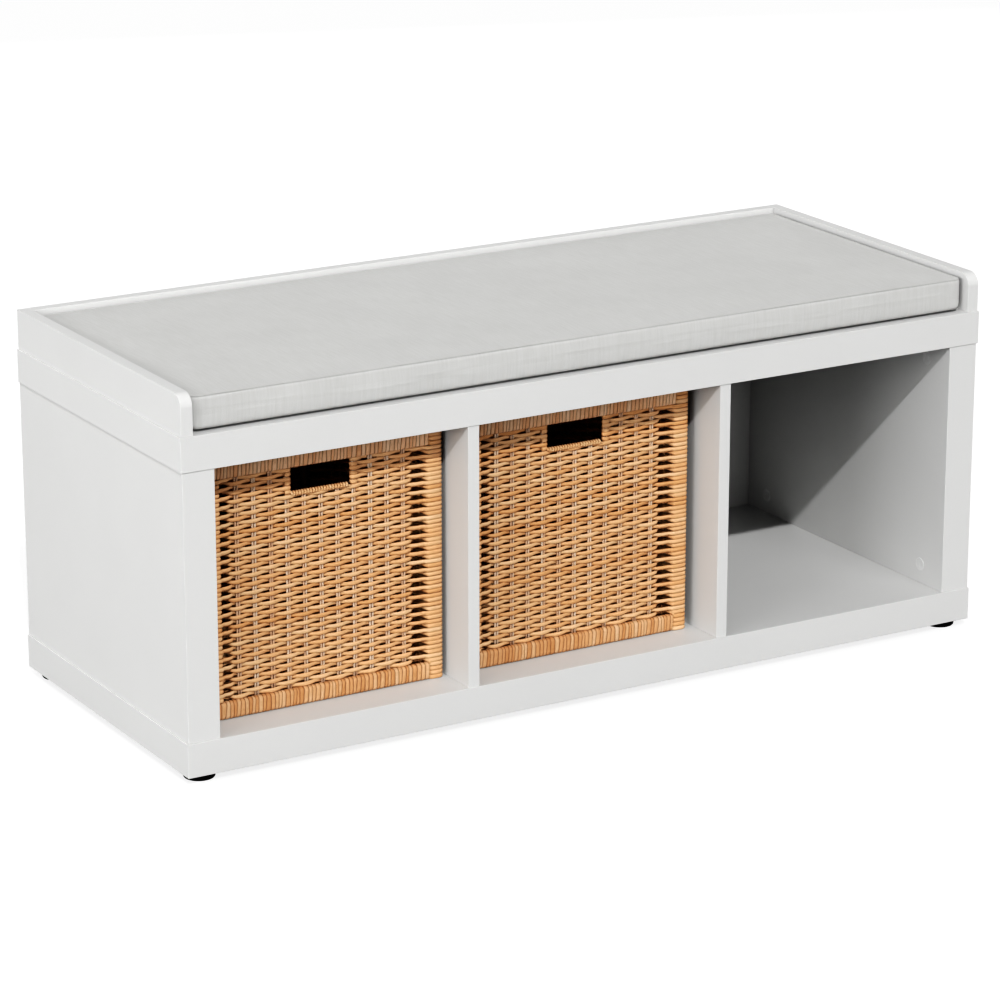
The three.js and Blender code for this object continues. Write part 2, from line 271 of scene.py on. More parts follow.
def rattan_material(name, *tones):
    """Peeled rattan: each strand has its own tone and fibre streaks, with painted shade in the grooves
    between strands.
    """
    g = Graph(name)
    tint, along, turn, groove = (g.attribute(key) for key in ("tint", "along", "turn", "groove_shade"))
    fibre_place = g.node("CombineXYZ", "Vector", X=g.math("MULTIPLY", along, 55.0),
                         Y=g.math("MULTIPLY", turn, 9.0), Z=g.math("MULTIPLY", tint, 437.0))
    fibre = g.noise(fibre_place, 1.0, 4.0, 0.65)
    patch_place = g.node("CombineXYZ", "Vector", X=g.math("MULTIPLY", along, 16.0),
                         Y=g.math("MULTIPLY", tint, 911.0))
    shifted = g.math("ADD", tint, g.scaled(g.noise(patch_place, 1.0), -0.35, 0.35))
    streak = g.ramp(fibre, [(0.28, (0.70, 0.60, 0.48)), (0.55, (1.0, 1.0, 1.0))])
    fibrous = g.mix("MULTIPLY", 0.6, g.ramp(shifted, tones), streak)
    # groove_shade paints shade: a near-black brown mixed in at the grooves between strands.
    g.shade(Base_Color=g.mix("MIX", groove, fibrous, (0.12, 0.045, 0.018)), Specular_IOR_Level=0.45,
            Roughness=g.scaled(fibre, 0.72, 0.50), Normal=g.bump(fibre, 0.0004, 0.55))
    return g.material


def seen_and_lit(nodes, links, seen, lit, surface):
    """Shows one shader to the camera and gives the light of another to everything else."""
    rays = nodes.new("ShaderNodeLightPath")
    pick = nodes.new("ShaderNodeMixShader")
    links.new(rays.outputs["Is Camera Ray"], pick.inputs["Fac"])
    links.new(lit, pick.inputs[1])
    links.new(seen, pick.inputs[2])
    links.new(pick.outputs["Shader"], surface)


def floor_material():
    """A plain white studio floor that keeps a faint shadow."""
    g = Graph("studio_floor")
    g.nodes.remove(g.shader)
    paint = g.node("BsdfDiffuse", "BSDF", Color=(FLOOR_PAINT,) * 3)
    glow = g.node("Emission", "Emission", Strength=FLOOR_GLOW)
    bounce = g.node("BsdfDiffuse", "BSDF", Color=(FLOOR_BOUNCE,) * 3)
    seen = g.nodes.new("ShaderNodeAddShader")
    g.links.new(paint, seen.inputs[0])
    g.links.new(glow, seen.inputs[1])
    surface = g.nodes["Material Output"].inputs["Surface"]
    seen_and_lit(g.nodes, g.links, seen.outputs["Shader"], bounce, surface)
    return g.material


# ---- mesh tools


def new_object(name, data):
    made = bpy.data.objects.new(name, data)
    bpy.context.scene.collection.objects.link(made)
    return made


def mesh_from(bm, name):
    mesh = bpy.data.meshes.new(name)
    bm.to_mesh(mesh)
    bm.free()
    return mesh


def unit(vectors):
    return vectors / (np.linalg.norm(vectors, axis=1)[:, None] + 1e-12)


def mesh_object(name, verts, faces, material, smooth=True, values=None):
    """A mesh object from an array of points and a list of face arrays, each of one corner count."""
    mesh = bpy.data.meshes.new(name)
    mesh.vertices.add(len(verts))
    mesh.vertices.foreach_set("co", np.asarray(verts, np.float32).ravel())
    groups = [np.asarray(f, np.int32) for f in faces if len(f)]
    mesh.loops.add(sum(f.size for f in groups))
    mesh.loops.foreach_set("vertex_index", np.concatenate([f.ravel() for f in groups]))
    sizes = np.concatenate([np.full(len(f), f.shape[1], np.int32) for f in groups])
    mesh.polygons.add(len(sizes))
    starts = np.concatenate([[0], np.cumsum(sizes)[:-1]]).astype(np.int32)
    mesh.polygons.foreach_set("loop_start", starts)
    mesh.update(calc_edges=True)
    mesh.validate()
    mesh.polygons.foreach_set("use_smooth", np.full(len(mesh.polygons), smooth))
    for key, data in (values or {}).items():
        layer = mesh.attributes.new(key, "FLOAT", "POINT")
        layer.data.foreach_set("value", np.asarray(data, np.float32))
    mesh.materials.append(material)
    return new_object(name, mesh)


def apply_modifiers(piece):
    """Keeps the shape that the modifiers give and removes them."""
    graph = bpy.context.evaluated_depsgraph_get()
    made = bpy.data.meshes.new_from_object(piece.evaluated_get(graph))
    piece.modifiers.clear()
    old = piece.data
    made.name = old.name
    piece.data = made
    bpy.data.meshes.remove(old)
    return piece


class Bundle:
    """Many strands joined into one mesh, with a tint for each strand and a place along and round it."""

    def __init__(self):
        self.verts, self.quads, self.caps = [], [], []
        self.values = {"tint": [], "along": [], "turn": []}
        self.count = 0

    def strand(self, line, side, up, half_side, half_up, tint, closed=False, sides=STRAND_SIDES):
        """Sweeps an ellipse along a line of points. side and up are its axes, for each point or for all."""
        n = len(line)
        side = np.broadcast_to(side, (n, 3))
        up = np.broadcast_to(up, (n, 3))
        angle = np.linspace(0, 2 * np.pi, sides, endpoint=False) + np.pi
        half_side = np.broadcast_to(half_side, n)[:, None, None]
        half_up = np.broadcast_to(half_up, n)[:, None, None]
        ring = (line[:, None, :]
                + side[:, None, :] * half_side * np.cos(angle)[None, :, None]
                + up[:, None, :] * half_up * np.sin(angle)[None, :, None])
        self.verts.append(ring.reshape(-1, 3))
        here = np.arange(n * sides).reshape(n, sides)
        ahead = np.roll(here, -1, 0)
        quads = np.stack([here, np.roll(here, -1, 1), np.roll(ahead, -1, 1), ahead], -1)
        quads = quads if closed else quads[:-1]
        turn = -1 if (np.cross(side, up)[:-1] * np.diff(line, axis=0)).sum() < 0 else 1
        self.quads.append(quads.reshape(-1, 4)[:, ::turn] + self.count)
        if not closed:
            self.caps.append(np.arange(sides)[::-turn] + self.count)
            self.caps.append(np.arange(sides)[::turn] + (n - 1) * sides + self.count)
        steps = np.linalg.norm(np.diff(line, axis=0), axis=1)
        length = np.concatenate([[0], np.cumsum(steps)])
        self.values["tint"].append(np.full(n * sides, tint))
        self.values["along"].append(np.repeat(length, sides))
        self.values["turn"].append(np.tile(np.abs(np.linspace(-1, 1, sides, endpoint=False)), n))
        self.count += n * sides

    def piece(self, name, material):
        values = {k: np.concatenate(v) for k, v in self.values.items()}
        faces = [np.concatenate(self.quads)]
        if self.caps:
            faces.append(np.array(self.caps))
        return mesh_object(name, np.concatenate(self.verts), faces, material, values=values)


def finish_piece(piece, body, slot, *nodes):
    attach(piece, body)
    if nodes:
        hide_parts(*nodes)
    return piece


# ---- boards


def bevelled_board(name, low, high, material, edge=0.45 * MM):
    """A board between two corners, with its edges eased as edge-banded board has them."""
    bm = bmesh.new()
    bmesh.ops.create_cube(bm, size=1.0)
    size, middle = high - low, (high + low) / 2
    for v in bm.verts:
        v.co = Vector([v.co[i] * size[i] + middle[i] for i in range(3)])
    bmesh.ops.bevel(bm, geom=list(bm.edges), offset=edge, segments=3, profile=0.5, affect="EDGES")
    return shaded_board(name, mesh_from(bm, name), material)


def shaded_board(name, mesh, material):
    mesh.materials.append(material)
    piece = new_object(name, mesh)
    mesh.polygons.foreach_set("use_smooth", np.full(len(mesh.polygons), True))
    mesh.set_sharp_from_angle(angle=math.radians(40))
    weighted = piece.modifiers.new("weighted", "WEIGHTED_NORMAL")
    weighted.keep_sharp = True
    return apply_modifiers(piece)


def add_boards(material, back_material):
    for node in ("base_panel", "top_panel", "left_side_panel", "right_side_panel",
                 "left_divider", "right_divider", "back_rim"):
        board = bevelled_board(node.replace("_panel", "") + "_board", *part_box(node), material)
        finish_piece(board, "carcass", "board", node)
    sheet = bevelled_board("back_sheet", *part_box("back_panel"), back_material, 0.4 * MM)
    finish_piece(sheet, "carcass", "back_sheet", "back_panel")
    for node in ("left_rim", "right_rim"):
        rim = side_rim(node + "_board", *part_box(node), material)
        finish_piece(rim, "carcass", "board", node)


def side_rim(name, low, high, material, corner=16 * MM, edge=0.45 * MM, steps=14):
    """A rim board with its top front corner rounded."""
    outline = [(high.y, low.z), (high.y, high.z)]
    for i in range(steps + 1):
        turn = math.pi / 2 * (1 + i / steps)
        outline.append((low.y + corner + corner * math.cos(turn), high.z - corner + corner * math.sin(turn)))
    outline.append((low.y, low.z))
    bm = bmesh.new()
    extrude(bm, [(low.x, y, z) for y, z in outline], 0, high.x)
    ease_edges(bm, 30, edge, 3)
    return shaded_board(name, mesh_from(bm, name), material)


def extrude(bm, corners, axis, end):
    """A flat plate: a face at the corners, carried along an axis to a coordinate.

    Each face is made by hand, so that their order is the same in every run.
    """
    near = [bm.verts.new(corner) for corner in corners]
    far = [bm.verts.new(corner) for corner in corners]
    for vert in far:
        vert.co[axis] = end
    bm.faces.new(near)
    bm.faces.new(far[::-1])
    for i in range(len(near)):
        bm.faces.new((near[i], near[i - 1], far[i - 1], far[i]))


def ease_edges(bm, degrees, offset, segments):
    """Turns the faces outward and bevels the edges that are sharper than an angle."""
    bmesh.ops.recalc_face_normals(bm, faces=list(bm.faces))
    sharp = [e for e in bm.edges if e.calc_face_angle(0.0) > math.radians(degrees)]
    bmesh.ops.bevel(bm, geom=sharp, offset=offset, segments=segments, profile=0.5, affect="EDGES")


# ---- stage, lights and camera


def add_stage():
    half = FLOOR_SIZE / 2
    corners = np.array([(-half, -half, 0), (half, -half, 0), (half, half, 0), (-half, half, 0)], float)
    floor = mesh_object("floor", corners, [np.array([[0, 1, 2, 3]])], floor_material(), smooth=False)
    floor.location.z = -0.2 * MM


def add_light(name, kind, direction, strength, **settings):
    lamp = bpy.data.lights.new(name, kind)
    lamp.energy = strength
    for key, value in settings.items():
        setattr(lamp, key, value)
    light = new_object(name, lamp)
    light.rotation_mode = "QUATERNION"
    light.rotation_quaternion = (-direction).to_track_quat("-Z", "Y")
    return light


def add_lights():
    """The key light, and soft rectangular lights all round that show no reflection."""
    add_light("key_sun", "SUN", SUN_FROM, SUN_STRENGTH, angle=SUN_ANGLE)
    for name, (direction, distance, width, height, power) in SOFTBOXES.items():
        outward = Vector(direction).normalized()
        light = add_light(name, "AREA", outward, power, shape="RECTANGLE", size=width, size_y=height)
        light.location = BENCH_MIDDLE + outward * distance
        light.visible_glossy = False


def add_world():
    world = bpy.data.worlds.new("studio")
    world.use_nodes = True
    nodes, links = world.node_tree.nodes, world.node_tree.links
    background = nodes["Background"]
    background.inputs["Color"].default_value = (1, 1, 1, 1)
    background.inputs["Strength"].default_value = WORLD_STRENGTH
    seen = nodes.new("ShaderNodeBackground")
    seen.inputs["Color"].default_value = (1, 1, 1, 1)
    seen.inputs["Strength"].default_value = BACKDROP
    surface = nodes["World Output"].inputs["Surface"]
    seen_and_lit(nodes, links, seen.outputs["Background"], background.outputs["Background"], surface)
    bpy.context.scene.world = world


def set_film():
    """A plain view of the light, with more contrast in the deep shadows, as a product picture has."""
    scene = bpy.context.scene
    scene.cycles.diffuse_bounces = 1
    scene.view_settings.view_transform = "Standard"
    scene.view_settings.use_curve_mapping = True
    tone = scene.view_settings.curve_mapping
    curve = tone.curves[3]
    for place, value in TONE_CURVE:
        curve.points.new(place, value)
    tone.update()


def add_camera():
    lens = bpy.data.cameras.new("camera")
    lens.lens = CAMERA_LENS
    lens.sensor_width = 36.0
    lens.clip_end = 100.0
    camera = new_object("camera", lens)
    camera.location = CAMERA_PLACE
    level = math.cos(CAMERA_ELEVATION)
    look = Vector((-math.sin(CAMERA_AZIMUTH) * level, math.cos(CAMERA_AZIMUTH) * level,
                   -math.sin(CAMERA_ELEVATION)))
    camera.rotation_mode = "QUATERNION"
    camera.rotation_quaternion = look.to_track_quat("-Z", "Y")
    bpy.context.scene.camera = camera


# ---- rattan baskets


class Wall:
    """One side of a basket: where it starts, the way it runs and the way it faces, in plan."""

    def __init__(self, start, run, face, width, stakes):
        self.start, self.run, self.face = np.array(start), np.array(run), np.array(face)
        self.along = (*run, 0.0)
        self.outward = (*face, 0.0)
        self.width = width
        self.stakes = stakes
        self.first = (width - (stakes - 1) * STAKE_PITCH) / 2

    def point(self, u, inset):
        """Plan points at distances u along the wall, inset from its outer face."""
        return self.start + np.outer(u, self.run) - np.outer(np.broadcast_to(inset, np.shape(u)), self.face)


def basket_walls(low, high):
    x0, y0, x1, y1 = low.x, low.y, high.x, high.y
    width, depth = x1 - x0, y1 - y0
    across = 2 * round((width / STAKE_PITCH - 4.5) / 2) + 1
    along = 2 * round((depth / STAKE_PITCH - 4.5) / 2 + 0.5)
    return [
        Wall((x0, y0), (1.0, 0.0), (0.0, -1.0), width, across),
        Wall((x1, y0), (0.0, 1.0), (1.0, 0.0), depth, along),
        Wall((x1, y1), (-1.0, 0.0), (0.0, 1.0), width, across),
        Wall((x0, y1), (0.0, -1.0), (-1.0, 0.0), depth, along),
    ]


def smooth_step(t):
    t = np.clip(t, 0, 1)
    return t * t * (3 - 2 * t)


def by_end(wall, u, at_start, at_end):
    """The value for whichever end of the wall each place is nearer to."""
    return np.where(u < wall.width / 2, at_start, at_end)


def weave_phase(wall, u):
    """Which stake a place is at, counted from 0; -1 is the gap between the corner and the first stake."""
    before = (u - wall.first) / (wall.first - START_GAP)
    last = wall.width - wall.first
    after = wall.stakes - 1 + (u - last) / (wall.first - END_GAP)
    phase = np.where(u < wall.first, before, np.where(u > last, after, (u - wall.first) / STAKE_PITCH))
    return np.clip(phase, -1, wall.stakes)


def weave_swing(wall, u, parity):
    """How far a weaver stands out from the middle of the weave, from -1 behind a stake to 1 before it."""
    return parity * np.cos(np.pi * weave_phase(wall, u))


def weaver_on_wall(wall, u, parity):
    """Inset from the wall's face, half height and rise of a weaver at places u along a wall."""
    swing = weave_swing(wall, u, parity)
    edge = np.minimum(u, wall.width - u)
    gap = by_end(wall, u, START_GAP, END_GAP)
    beside_post = 1 - smooth_step((edge - gap) / (wall.first - gap))
    gap_swing = np.clip(-swing, 0, 1) ** 0.6 * beside_post
    inset = WEAVE_INSET - WEAVE_SWING * swing
    inset = inset + (CORNER_GAP_INSET - WEAVE_INSET - WEAVE_SWING) * gap_swing
    on_post = 1 - smooth_step((edge - by_end(wall, u, START_WINDING, END_WINDING)) / POST_BEND)
    inset = inset + (POST_INSET - inset) * on_post
    taper = 1 - 0.45 * gap_swing - 0.14 * np.clip(swing, 0, 1) * beside_post
    full = (0.84 + 0.16 * np.abs(swing) ** 0.8) * taper
    full = full + (0.97 - full) * on_post
    rise = WEAVER_RISE * parity * np.sin(np.pi * weave_phase(wall, u)) * (1 - beside_post)
    return inset, WEAVER_HALF_HEIGHT * full, rise


def wall_samples(wall):
    """Places along a wall where a weaver is drawn: close together beside the posts, where it bends most."""
    near = [CORNER_RADIUS, 13 * MM]
    bend = np.arange(END_WINDING - 1.5 * MM, wall.first - 1 * MM, 1.7 * MM)
    step = STAKE_PITCH / SAMPLES_PER_PITCH
    middle = wall.first + np.arange((wall.stakes - 1) * SAMPLES_PER_PITCH + 1) * step
    start = np.concatenate([near, bend])
    return np.concatenate([start, middle, wall.width - start[::-1]])


def corner_arc(wall, next_wall, inset):
    """Plan points and outward directions round the corner after a wall."""
    centre = wall.point(np.array([wall.width - CORNER_RADIUS]), CORNER_RADIUS)[0]
    turn = (np.arange(1, CORNER_STEPS) / CORNER_STEPS) * np.pi / 2
    out = np.outer(np.cos(turn), wall.face) + np.outer(np.sin(turn), next_wall.face)
    return centre + out * (CORNER_RADIUS - inset), out


def weaver_row(walls, parity):
    """A whole turn of a weaver: plan points, outward directions, half heights, rises, walls and places."""
    parts = []
    for i, wall in enumerate(walls):
        u = wall_samples(wall)
        inset, half, rise = weaver_on_wall(wall, u, parity)
        face = np.tile(wall.face, (len(u), 1))
        parts.append((wall.point(u, inset), face, half, rise, np.full(len(u), i), u))
        arc, out = corner_arc(wall, walls[(i + 1) % 4], POST_INSET)
        flat = np.zeros(len(arc))
        parts.append((arc, out, flat + WEAVER_HALF_HEIGHT * 0.97, flat, np.full(len(arc), -1), flat))
    return [np.concatenate(column) for column in zip(*parts)]


def tilt_outward(points, outs):
    """Outward directions turned square to the path, so that a strand keeps its thickness as it swings."""
    ahead = unit(np.roll(points, -1, 0) - np.roll(points, 1, 0))
    square = np.stack([ahead[:, 1], -ahead[:, 0]], 1)
    flip = np.sign((square * outs).sum(1))[:, None]
    return square * np.where(flip == 0, 1, flip)


def ripple(rng, count, size):
    """A slow closed wave with random phases."""
    t = np.linspace(0, 2 * np.pi, count, endpoint=False)
    wave = sum(np.sin(k * t + rng.uniform(0, 2 * np.pi)) / k**0.5 for k in (2, 5, 9, 17, 31))
    return size * wave / 2.5


class Basket:
    """What the parts of one basket share. Its label is also the name of the body that it rides on."""

    def __init__(self, label, seed):
        self.label = label
        self.rng = random_source(seed)
        self.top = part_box(f"{label}_top_border")
        self.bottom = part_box(f"{label}_bottom_border")
        self.z_low, self.z_high = (corner.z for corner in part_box(f"{label}_front"))
        self.pitch = (self.z_high - self.z_low) / ROW_COUNT
        self.walls = basket_walls(*self.top)
        self.hole_low, self.hole_half = self.handle_hole()

    def handle_hole(self):
        """Height of the handle hole's sill and half its width, read from the record's opening for it."""
        for opening in frame["record"]["physics"]["openings"]:
            if opening["name"] == f"{self.label}_front_handle":
                low, high = opening["box_m"]
                return low[2] - 0.5 * MM, (high[0] - low[0]) / 2 + 0.5 * MM
        raise ValueError(f"no handle opening for {self.label}")

    def tint(self, low=0.0, high=1.0):
        return self.rng.uniform(low, high)

    def finish(self, bundle, part, material, *nodes):
        self.finish_piece(bundle.piece(f"{self.label}_{part}", material), *nodes)

    def finish_piece(self, piece, *nodes):
        finish_piece(piece, self.label, "rattan", *[f"{self.label}_{node}" for node in nodes])


def add_weave(basket, material):
    """The weavers, row by row. Rows that meet the handle holes turn back at their edge stakes."""
    walls, rng = basket.walls, basket.rng
    bundles = [Bundle(), Bundle()]
    for row in range(ROW_COUNT):
        parity = 1 if row % 2 == 0 else -1
        z = basket.z_low + (row + 0.5) * basket.pitch
        points, outs, halves, rises, owners, places = weaver_row(walls, parity)
        outs = tilt_outward(points, outs)
        n = len(points)
        height = z + rises + ripple(rng, n, 0.22 * MM)
        thick = WEAVER_HALF_DEPTH * (1 + ripple(rng, n, 0.08))
        tall = halves * (1 + ripple(rng, n, 0.05)) * rng.uniform(0.95, 1.03)
        line = np.column_stack([points, height])
        side = np.column_stack([outs, np.zeros(n)])
        tint = basket.tint()
        bundle = bundles[row % 2]
        if z < basket.hole_low - SILL_HEIGHT:
            bundle.strand(line, side, UP, thick, tall, tint, closed=True)
            continue
        in_gap = np.abs(places - walls[0].width / 2) < HOLE_STAKE + 0.5 * MM
        first, second = (np.flatnonzero((owners == i) & in_gap) for i in (0, 2))
        for start, stop in ((first[-1] + 1, second[0]), (second[-1] + 1, first[0] + n)):
            index = np.arange(start, stop) % n
            ends = walls[owners[index][0]], walls[owners[index][-1]]
            open_row(bundle, ends, line[index], thick[index], tall[index], parity, tint)
    posts = [f"post_{end}_{side}" for end in ("front", "back") for side in ("left", "right")]
    basket.finish(bundles[0], "weavers_a", material, "front", "back", "left", "right", *posts)
    basket.finish(bundles[1], "weavers_b", material)


def hook(wall, sign, parity, z):
    """A weaver's turn round the edge stake of a handle hole. sign is 1 past the hole, -1 before it."""
    stake = wall.width / 2 + sign * HOLE_STAKE
    edge_swing = weave_swing(wall, np.array([stake]), parity)[0]
    turn = np.linspace(0.0, np.pi, 7)
    u = stake - sign * np.sin(turn) * (STAKE_SPREAD + STAKE_RADIUS + WEAVER_HALF_DEPTH)
    inset = WEAVE_INSET + WEAVE_SWING * edge_swing * np.cos(turn)
    u = np.concatenate([[stake + sign * 3.5 * MM], u])
    inset = np.concatenate([[WEAVE_INSET + WEAVE_SWING * edge_swing * 0.9], inset])
    points = wall.point(u, inset)
    return np.column_stack([points, np.full(len(points), z)])


def open_row(bundle, ends, line, thick, tall, parity, tint):
    """A weaver that runs from one handle hole round to the other, with a hook at each end."""
    start = hook(ends[0], 1, parity, line[0, 2])
    stop = hook(ends[1], -1, parity, line[-1, 2])[::-1]
    whole = np.concatenate([start, line, stop])
    ahead = unit(np.gradient(whole[:, :2], axis=0))
    square = np.column_stack([ahead[:, 1], -ahead[:, 0], np.zeros(len(whole))])
    thick = np.pad(thick, (len(start), len(stop)), "edge")
    tall = np.pad(tall, (len(start), len(stop)), "edge")
    bundle.strand(whole, square, UP, thick, tall * 0.97, tint)


def add_stakes(basket, material):
    """A pair of thin upright canes at each stake place."""
    bundle, rng = Bundle(), basket.rng
    for index, wall in enumerate(basket.walls):
        for i in range(wall.stakes):
            middle = wall.first + i * STAKE_PITCH
            under_hole = index in (0, 2) and abs(middle - wall.width / 2) < basket.hole_half
            top = basket.hole_low - 2 * MM if under_hole else basket.z_high + 2 * MM
            for sign in (-1, 1):
                u = middle + sign * STAKE_SPREAD + rng.uniform(-0.15, 0.15) * MM
                z = np.linspace(basket.z_low - 2 * MM, top, 16)
                radius = STAKE_RADIUS * rng.uniform(0.95, 1.1)
                sway = rng.uniform(-0.3, 0.3, 2) * MM
                u_line = u + np.sin(np.linspace(0, 3 * np.pi, 16) + rng.uniform(0, 6)) * sway[0]
                line = np.column_stack([wall.point(u_line, WEAVE_INSET), z])
                bundle.strand(line, wall.outward, wall.along, radius, radius, basket.tint(), sides=6)
    basket.finish(bundle, "stakes", material)


def strand_steps(rng, start, stop):
    """Edges of side-by-side strands of slightly uneven width that fill a length."""
    count = round((stop - start) / WRAP_WIDTH)
    widths = rng.uniform(0.72, 1.28, count)
    return start + np.concatenate([[0], np.cumsum(widths)]) * (stop - start) / widths.sum()


def band_section(width, height, radius, per_corner=7):
    """A rounded rectangle about its middle, as points and outward normals in (outward, up)."""
    points, normals = [], []
    for corner, (sx, sz) in enumerate(((1, 1), (-1, 1), (-1, -1), (1, -1))):
        centre = np.array([sx * (width / 2 - radius), sz * (height / 2 - radius)])
        for i in range(per_corner):
            turn = np.pi / 2 * (corner + i / (per_corner - 1))
            normals.append((np.cos(turn), np.sin(turn)))
            points.append(centre + radius * np.array(normals[-1]))
    return np.array(points), np.array(normals)


def add_border(basket, part, box, material, radius):
    """A border bar on each wall wrapped with upright strands, each a ridge of its own width and tone."""
    rng = basket.rng
    z_low, z_high = box[0].z, box[1].z
    across = np.array([0.0, 0.07, 0.22, 0.5, 0.78, 0.93])
    ridge = np.array([0.0, 0.55, 0.88, 1.0, 0.88, 0.55])
    section, normals = band_section(BORDER_DEPTH - 2 * WRAP_RELIEF, z_high - z_low - 2 * WRAP_RELIEF, radius)
    lengths = np.concatenate([[0], np.cumsum(np.linalg.norm(np.diff(section, axis=0), axis=1))])
    m = len(section)
    verts, quads, caps, values, count = [], [], [], {"tint": [], "along": [], "turn": [], "groove_shade": []}, 0
    for wall in basket.walls:
        edges = strand_steps(rng, BORDER_END, wall.width - BORDER_END)
        spans = list(zip(edges[:-1], edges[1:]))
        u = np.concatenate([a + (b - a) * across for a, b in spans] + [edges[-1:]])
        swell = np.concatenate([ridge * rng.uniform(0.82, 1.0) for _ in spans] + [[0.0]])
        tint = np.append(np.repeat(rng.uniform(0, 1, len(spans)), len(across)), 0.5)
        lean = np.interp(u, edges, rng.uniform(0.0, 0.13, len(edges)))
        n = len(u)
        lift = swell[:, None] * WRAP_RELIEF
        out = section[None, :, 0] + normals[None, :, 0] * lift - BORDER_DEPTH / 2
        z = section[None, :, 1] + normals[None, :, 1] * lift
        slide = u[:, None] + lean[:, None] * z
        plan = wall.start + slide[..., None] * wall.run + out[..., None] * wall.face
        verts.append(np.concatenate([plan, (z + (z_low + z_high) / 2)[..., None]], -1).reshape(-1, 3))
        rows, cols = np.arange(n - 1)[:, None], np.arange(m)[None, :]
        a, b = rows * m + cols, rows * m + (cols + 1) % m
        quads.append(np.stack([a, a + m, b + m, b], -1).reshape(-1, 4) + count)
        caps += [np.arange(m) + count, np.arange(m)[::-1] + (n - 1) * m + count]
        values["tint"].append(np.repeat(tint, m))
        values["along"].append(np.tile(lengths, n) + np.repeat(u, m) * 0.01)
        values["turn"].append(np.repeat(swell, m))
        # Painted shade: groove_shade rises to 1 at the low edges of each ridge, where neighbouring strands
        # meet.
        values["groove_shade"].append(np.repeat(1 - np.clip(swell / 0.68, 0, 1), m))
        count += n * m
    values = {k: np.concatenate(v) for k, v in values.items()}
    faces = [np.concatenate(quads), np.array(caps)]
    name = f"{basket.label}_{part}_wrap"
    basket.finish_piece(mesh_object(name, np.concatenate(verts), faces, material, values=values), part)


def add_corner_windings(basket, material):
    """Strands wound round each corner beside the borders, and the pegs that hold the border's ends."""
    bundle, rng = Bundle(), basket.rng
    reach = BORDER_END + 1.5 * MM
    beyond = basket.pitch * (np.arange(4) + 0.5)
    levels = np.concatenate([basket.z_low - beyond, basket.z_high + beyond])
    for i, wall in enumerate(basket.walls):
        after = basket.walls[(i + 1) % 4]
        for z in levels:
            u = np.linspace(wall.width - reach, wall.width - CORNER_RADIUS, 4)
            v = np.linspace(CORNER_RADIUS, reach, 4)
            inset = np.array([5.0 * MM, POST_INSET + 0.4 * MM, POST_INSET, POST_INSET])
            arc, out = corner_arc(wall, after, POST_INSET)
            plan = np.concatenate([wall.point(u, inset), arc, after.point(v, inset[::-1])])
            outs = np.concatenate([np.tile(wall.face, (4, 1)), out, np.tile(after.face, (4, 1))])
            n = len(plan)
            line = np.column_stack([plan, z + ripple(rng, n, 0.2 * MM)])
            side = np.column_stack([outs, np.zeros(n)])
            bundle.strand(line, side, UP, WEAVER_HALF_DEPTH, WEAVER_HALF_HEIGHT * 0.97, basket.tint())
        for z in levels[::2]:
            for spot, at in ((wall, wall.width - BORDER_END), (after, BORDER_END)):
                add_peg(bundle, spot, at + rng.uniform(-0.8, 0.8) * MM, z + rng.uniform(1.0, 3.5) * MM, rng)
    basket.finish(bundle, "corner_windings", material)


def add_peg(bundle, wall, u, z, rng):
    """The end of a small peg driven in from the outside."""
    inset = np.array([4.0, 0.9, 0.45, 0.15]) * MM
    line = np.column_stack([wall.point(np.full(4, u), inset), np.full(4, z)])
    size = np.array([1.25, 1.25, 1.0, 0.35]) * MM
    bundle.strand(line, wall.along, UP, size, size, rng.uniform(0.0, 0.4), sides=8)


def add_corner_posts(basket, material):
    """A thick upright cane inside each corner."""
    bundle, rng = Bundle(), basket.rng
    z_low, z_high = basket.bottom[0].z, basket.top[1].z
    z = np.concatenate([[z_low + 0.5 * MM], np.linspace(z_low + 2 * MM, z_high - 3 * MM, 12),
                        [z_high - 1.2 * MM, z_high - 0.5 * MM]])
    n = len(z)
    size = CANE_RADIUS * np.array([0.9, *[1.0] * (n - 3), 0.9, 0.6])
    for wall in basket.walls:
        centre = wall.point(np.array([wall.width - CANE_INSET]), CANE_INSET)[0]
        sway = np.column_stack([ripple(rng, n, 0.3 * MM), ripple(rng, n, 0.3 * MM)])
        line = np.column_stack([centre + sway, z])
        bundle.strand(line, (1.0, 0.0, 0.0), (0.0, 1.0, 0.0), size, size, basket.tint(0.2, 0.9), sides=14)
    basket.finish(bundle, "corner_canes", material)


def add_sill(basket, material):
    """The slanting wraps under each handle hole."""
    bundle = Bundle()
    per_turn = 12
    turns = int(2 * basket.hole_half / SILL_PITCH)
    t = np.arange(turns * per_turn + 1) / per_turn
    angle = 2 * np.pi * t
    radius_out, radius_up = 3.4 * MM, 1.9 * MM
    for wall in basket.walls[::2]:
        u = wall.width / 2 - basket.hole_half + t * SILL_PITCH
        plan = wall.point(u, WEAVE_INSET - 0.6 * MM - radius_out * np.cos(angle))
        line = np.column_stack([plan, basket.hole_low - 3.0 * MM + radius_up * np.sin(angle)])
        radial = np.column_stack([np.outer(np.cos(angle), wall.face), np.sin(angle)])
        across = unit(np.cross(unit(np.gradient(line, axis=0)), radial))
        for start in range(0, len(t) - 1, per_turn):
            part = slice(start, start + per_turn + 1)
            bundle.strand(line[part], radial[part], across[part], 1.25 * MM, 1.55 * MM, basket.tint(0.3, 1))
    basket.finish(bundle, "handle_wraps", material)


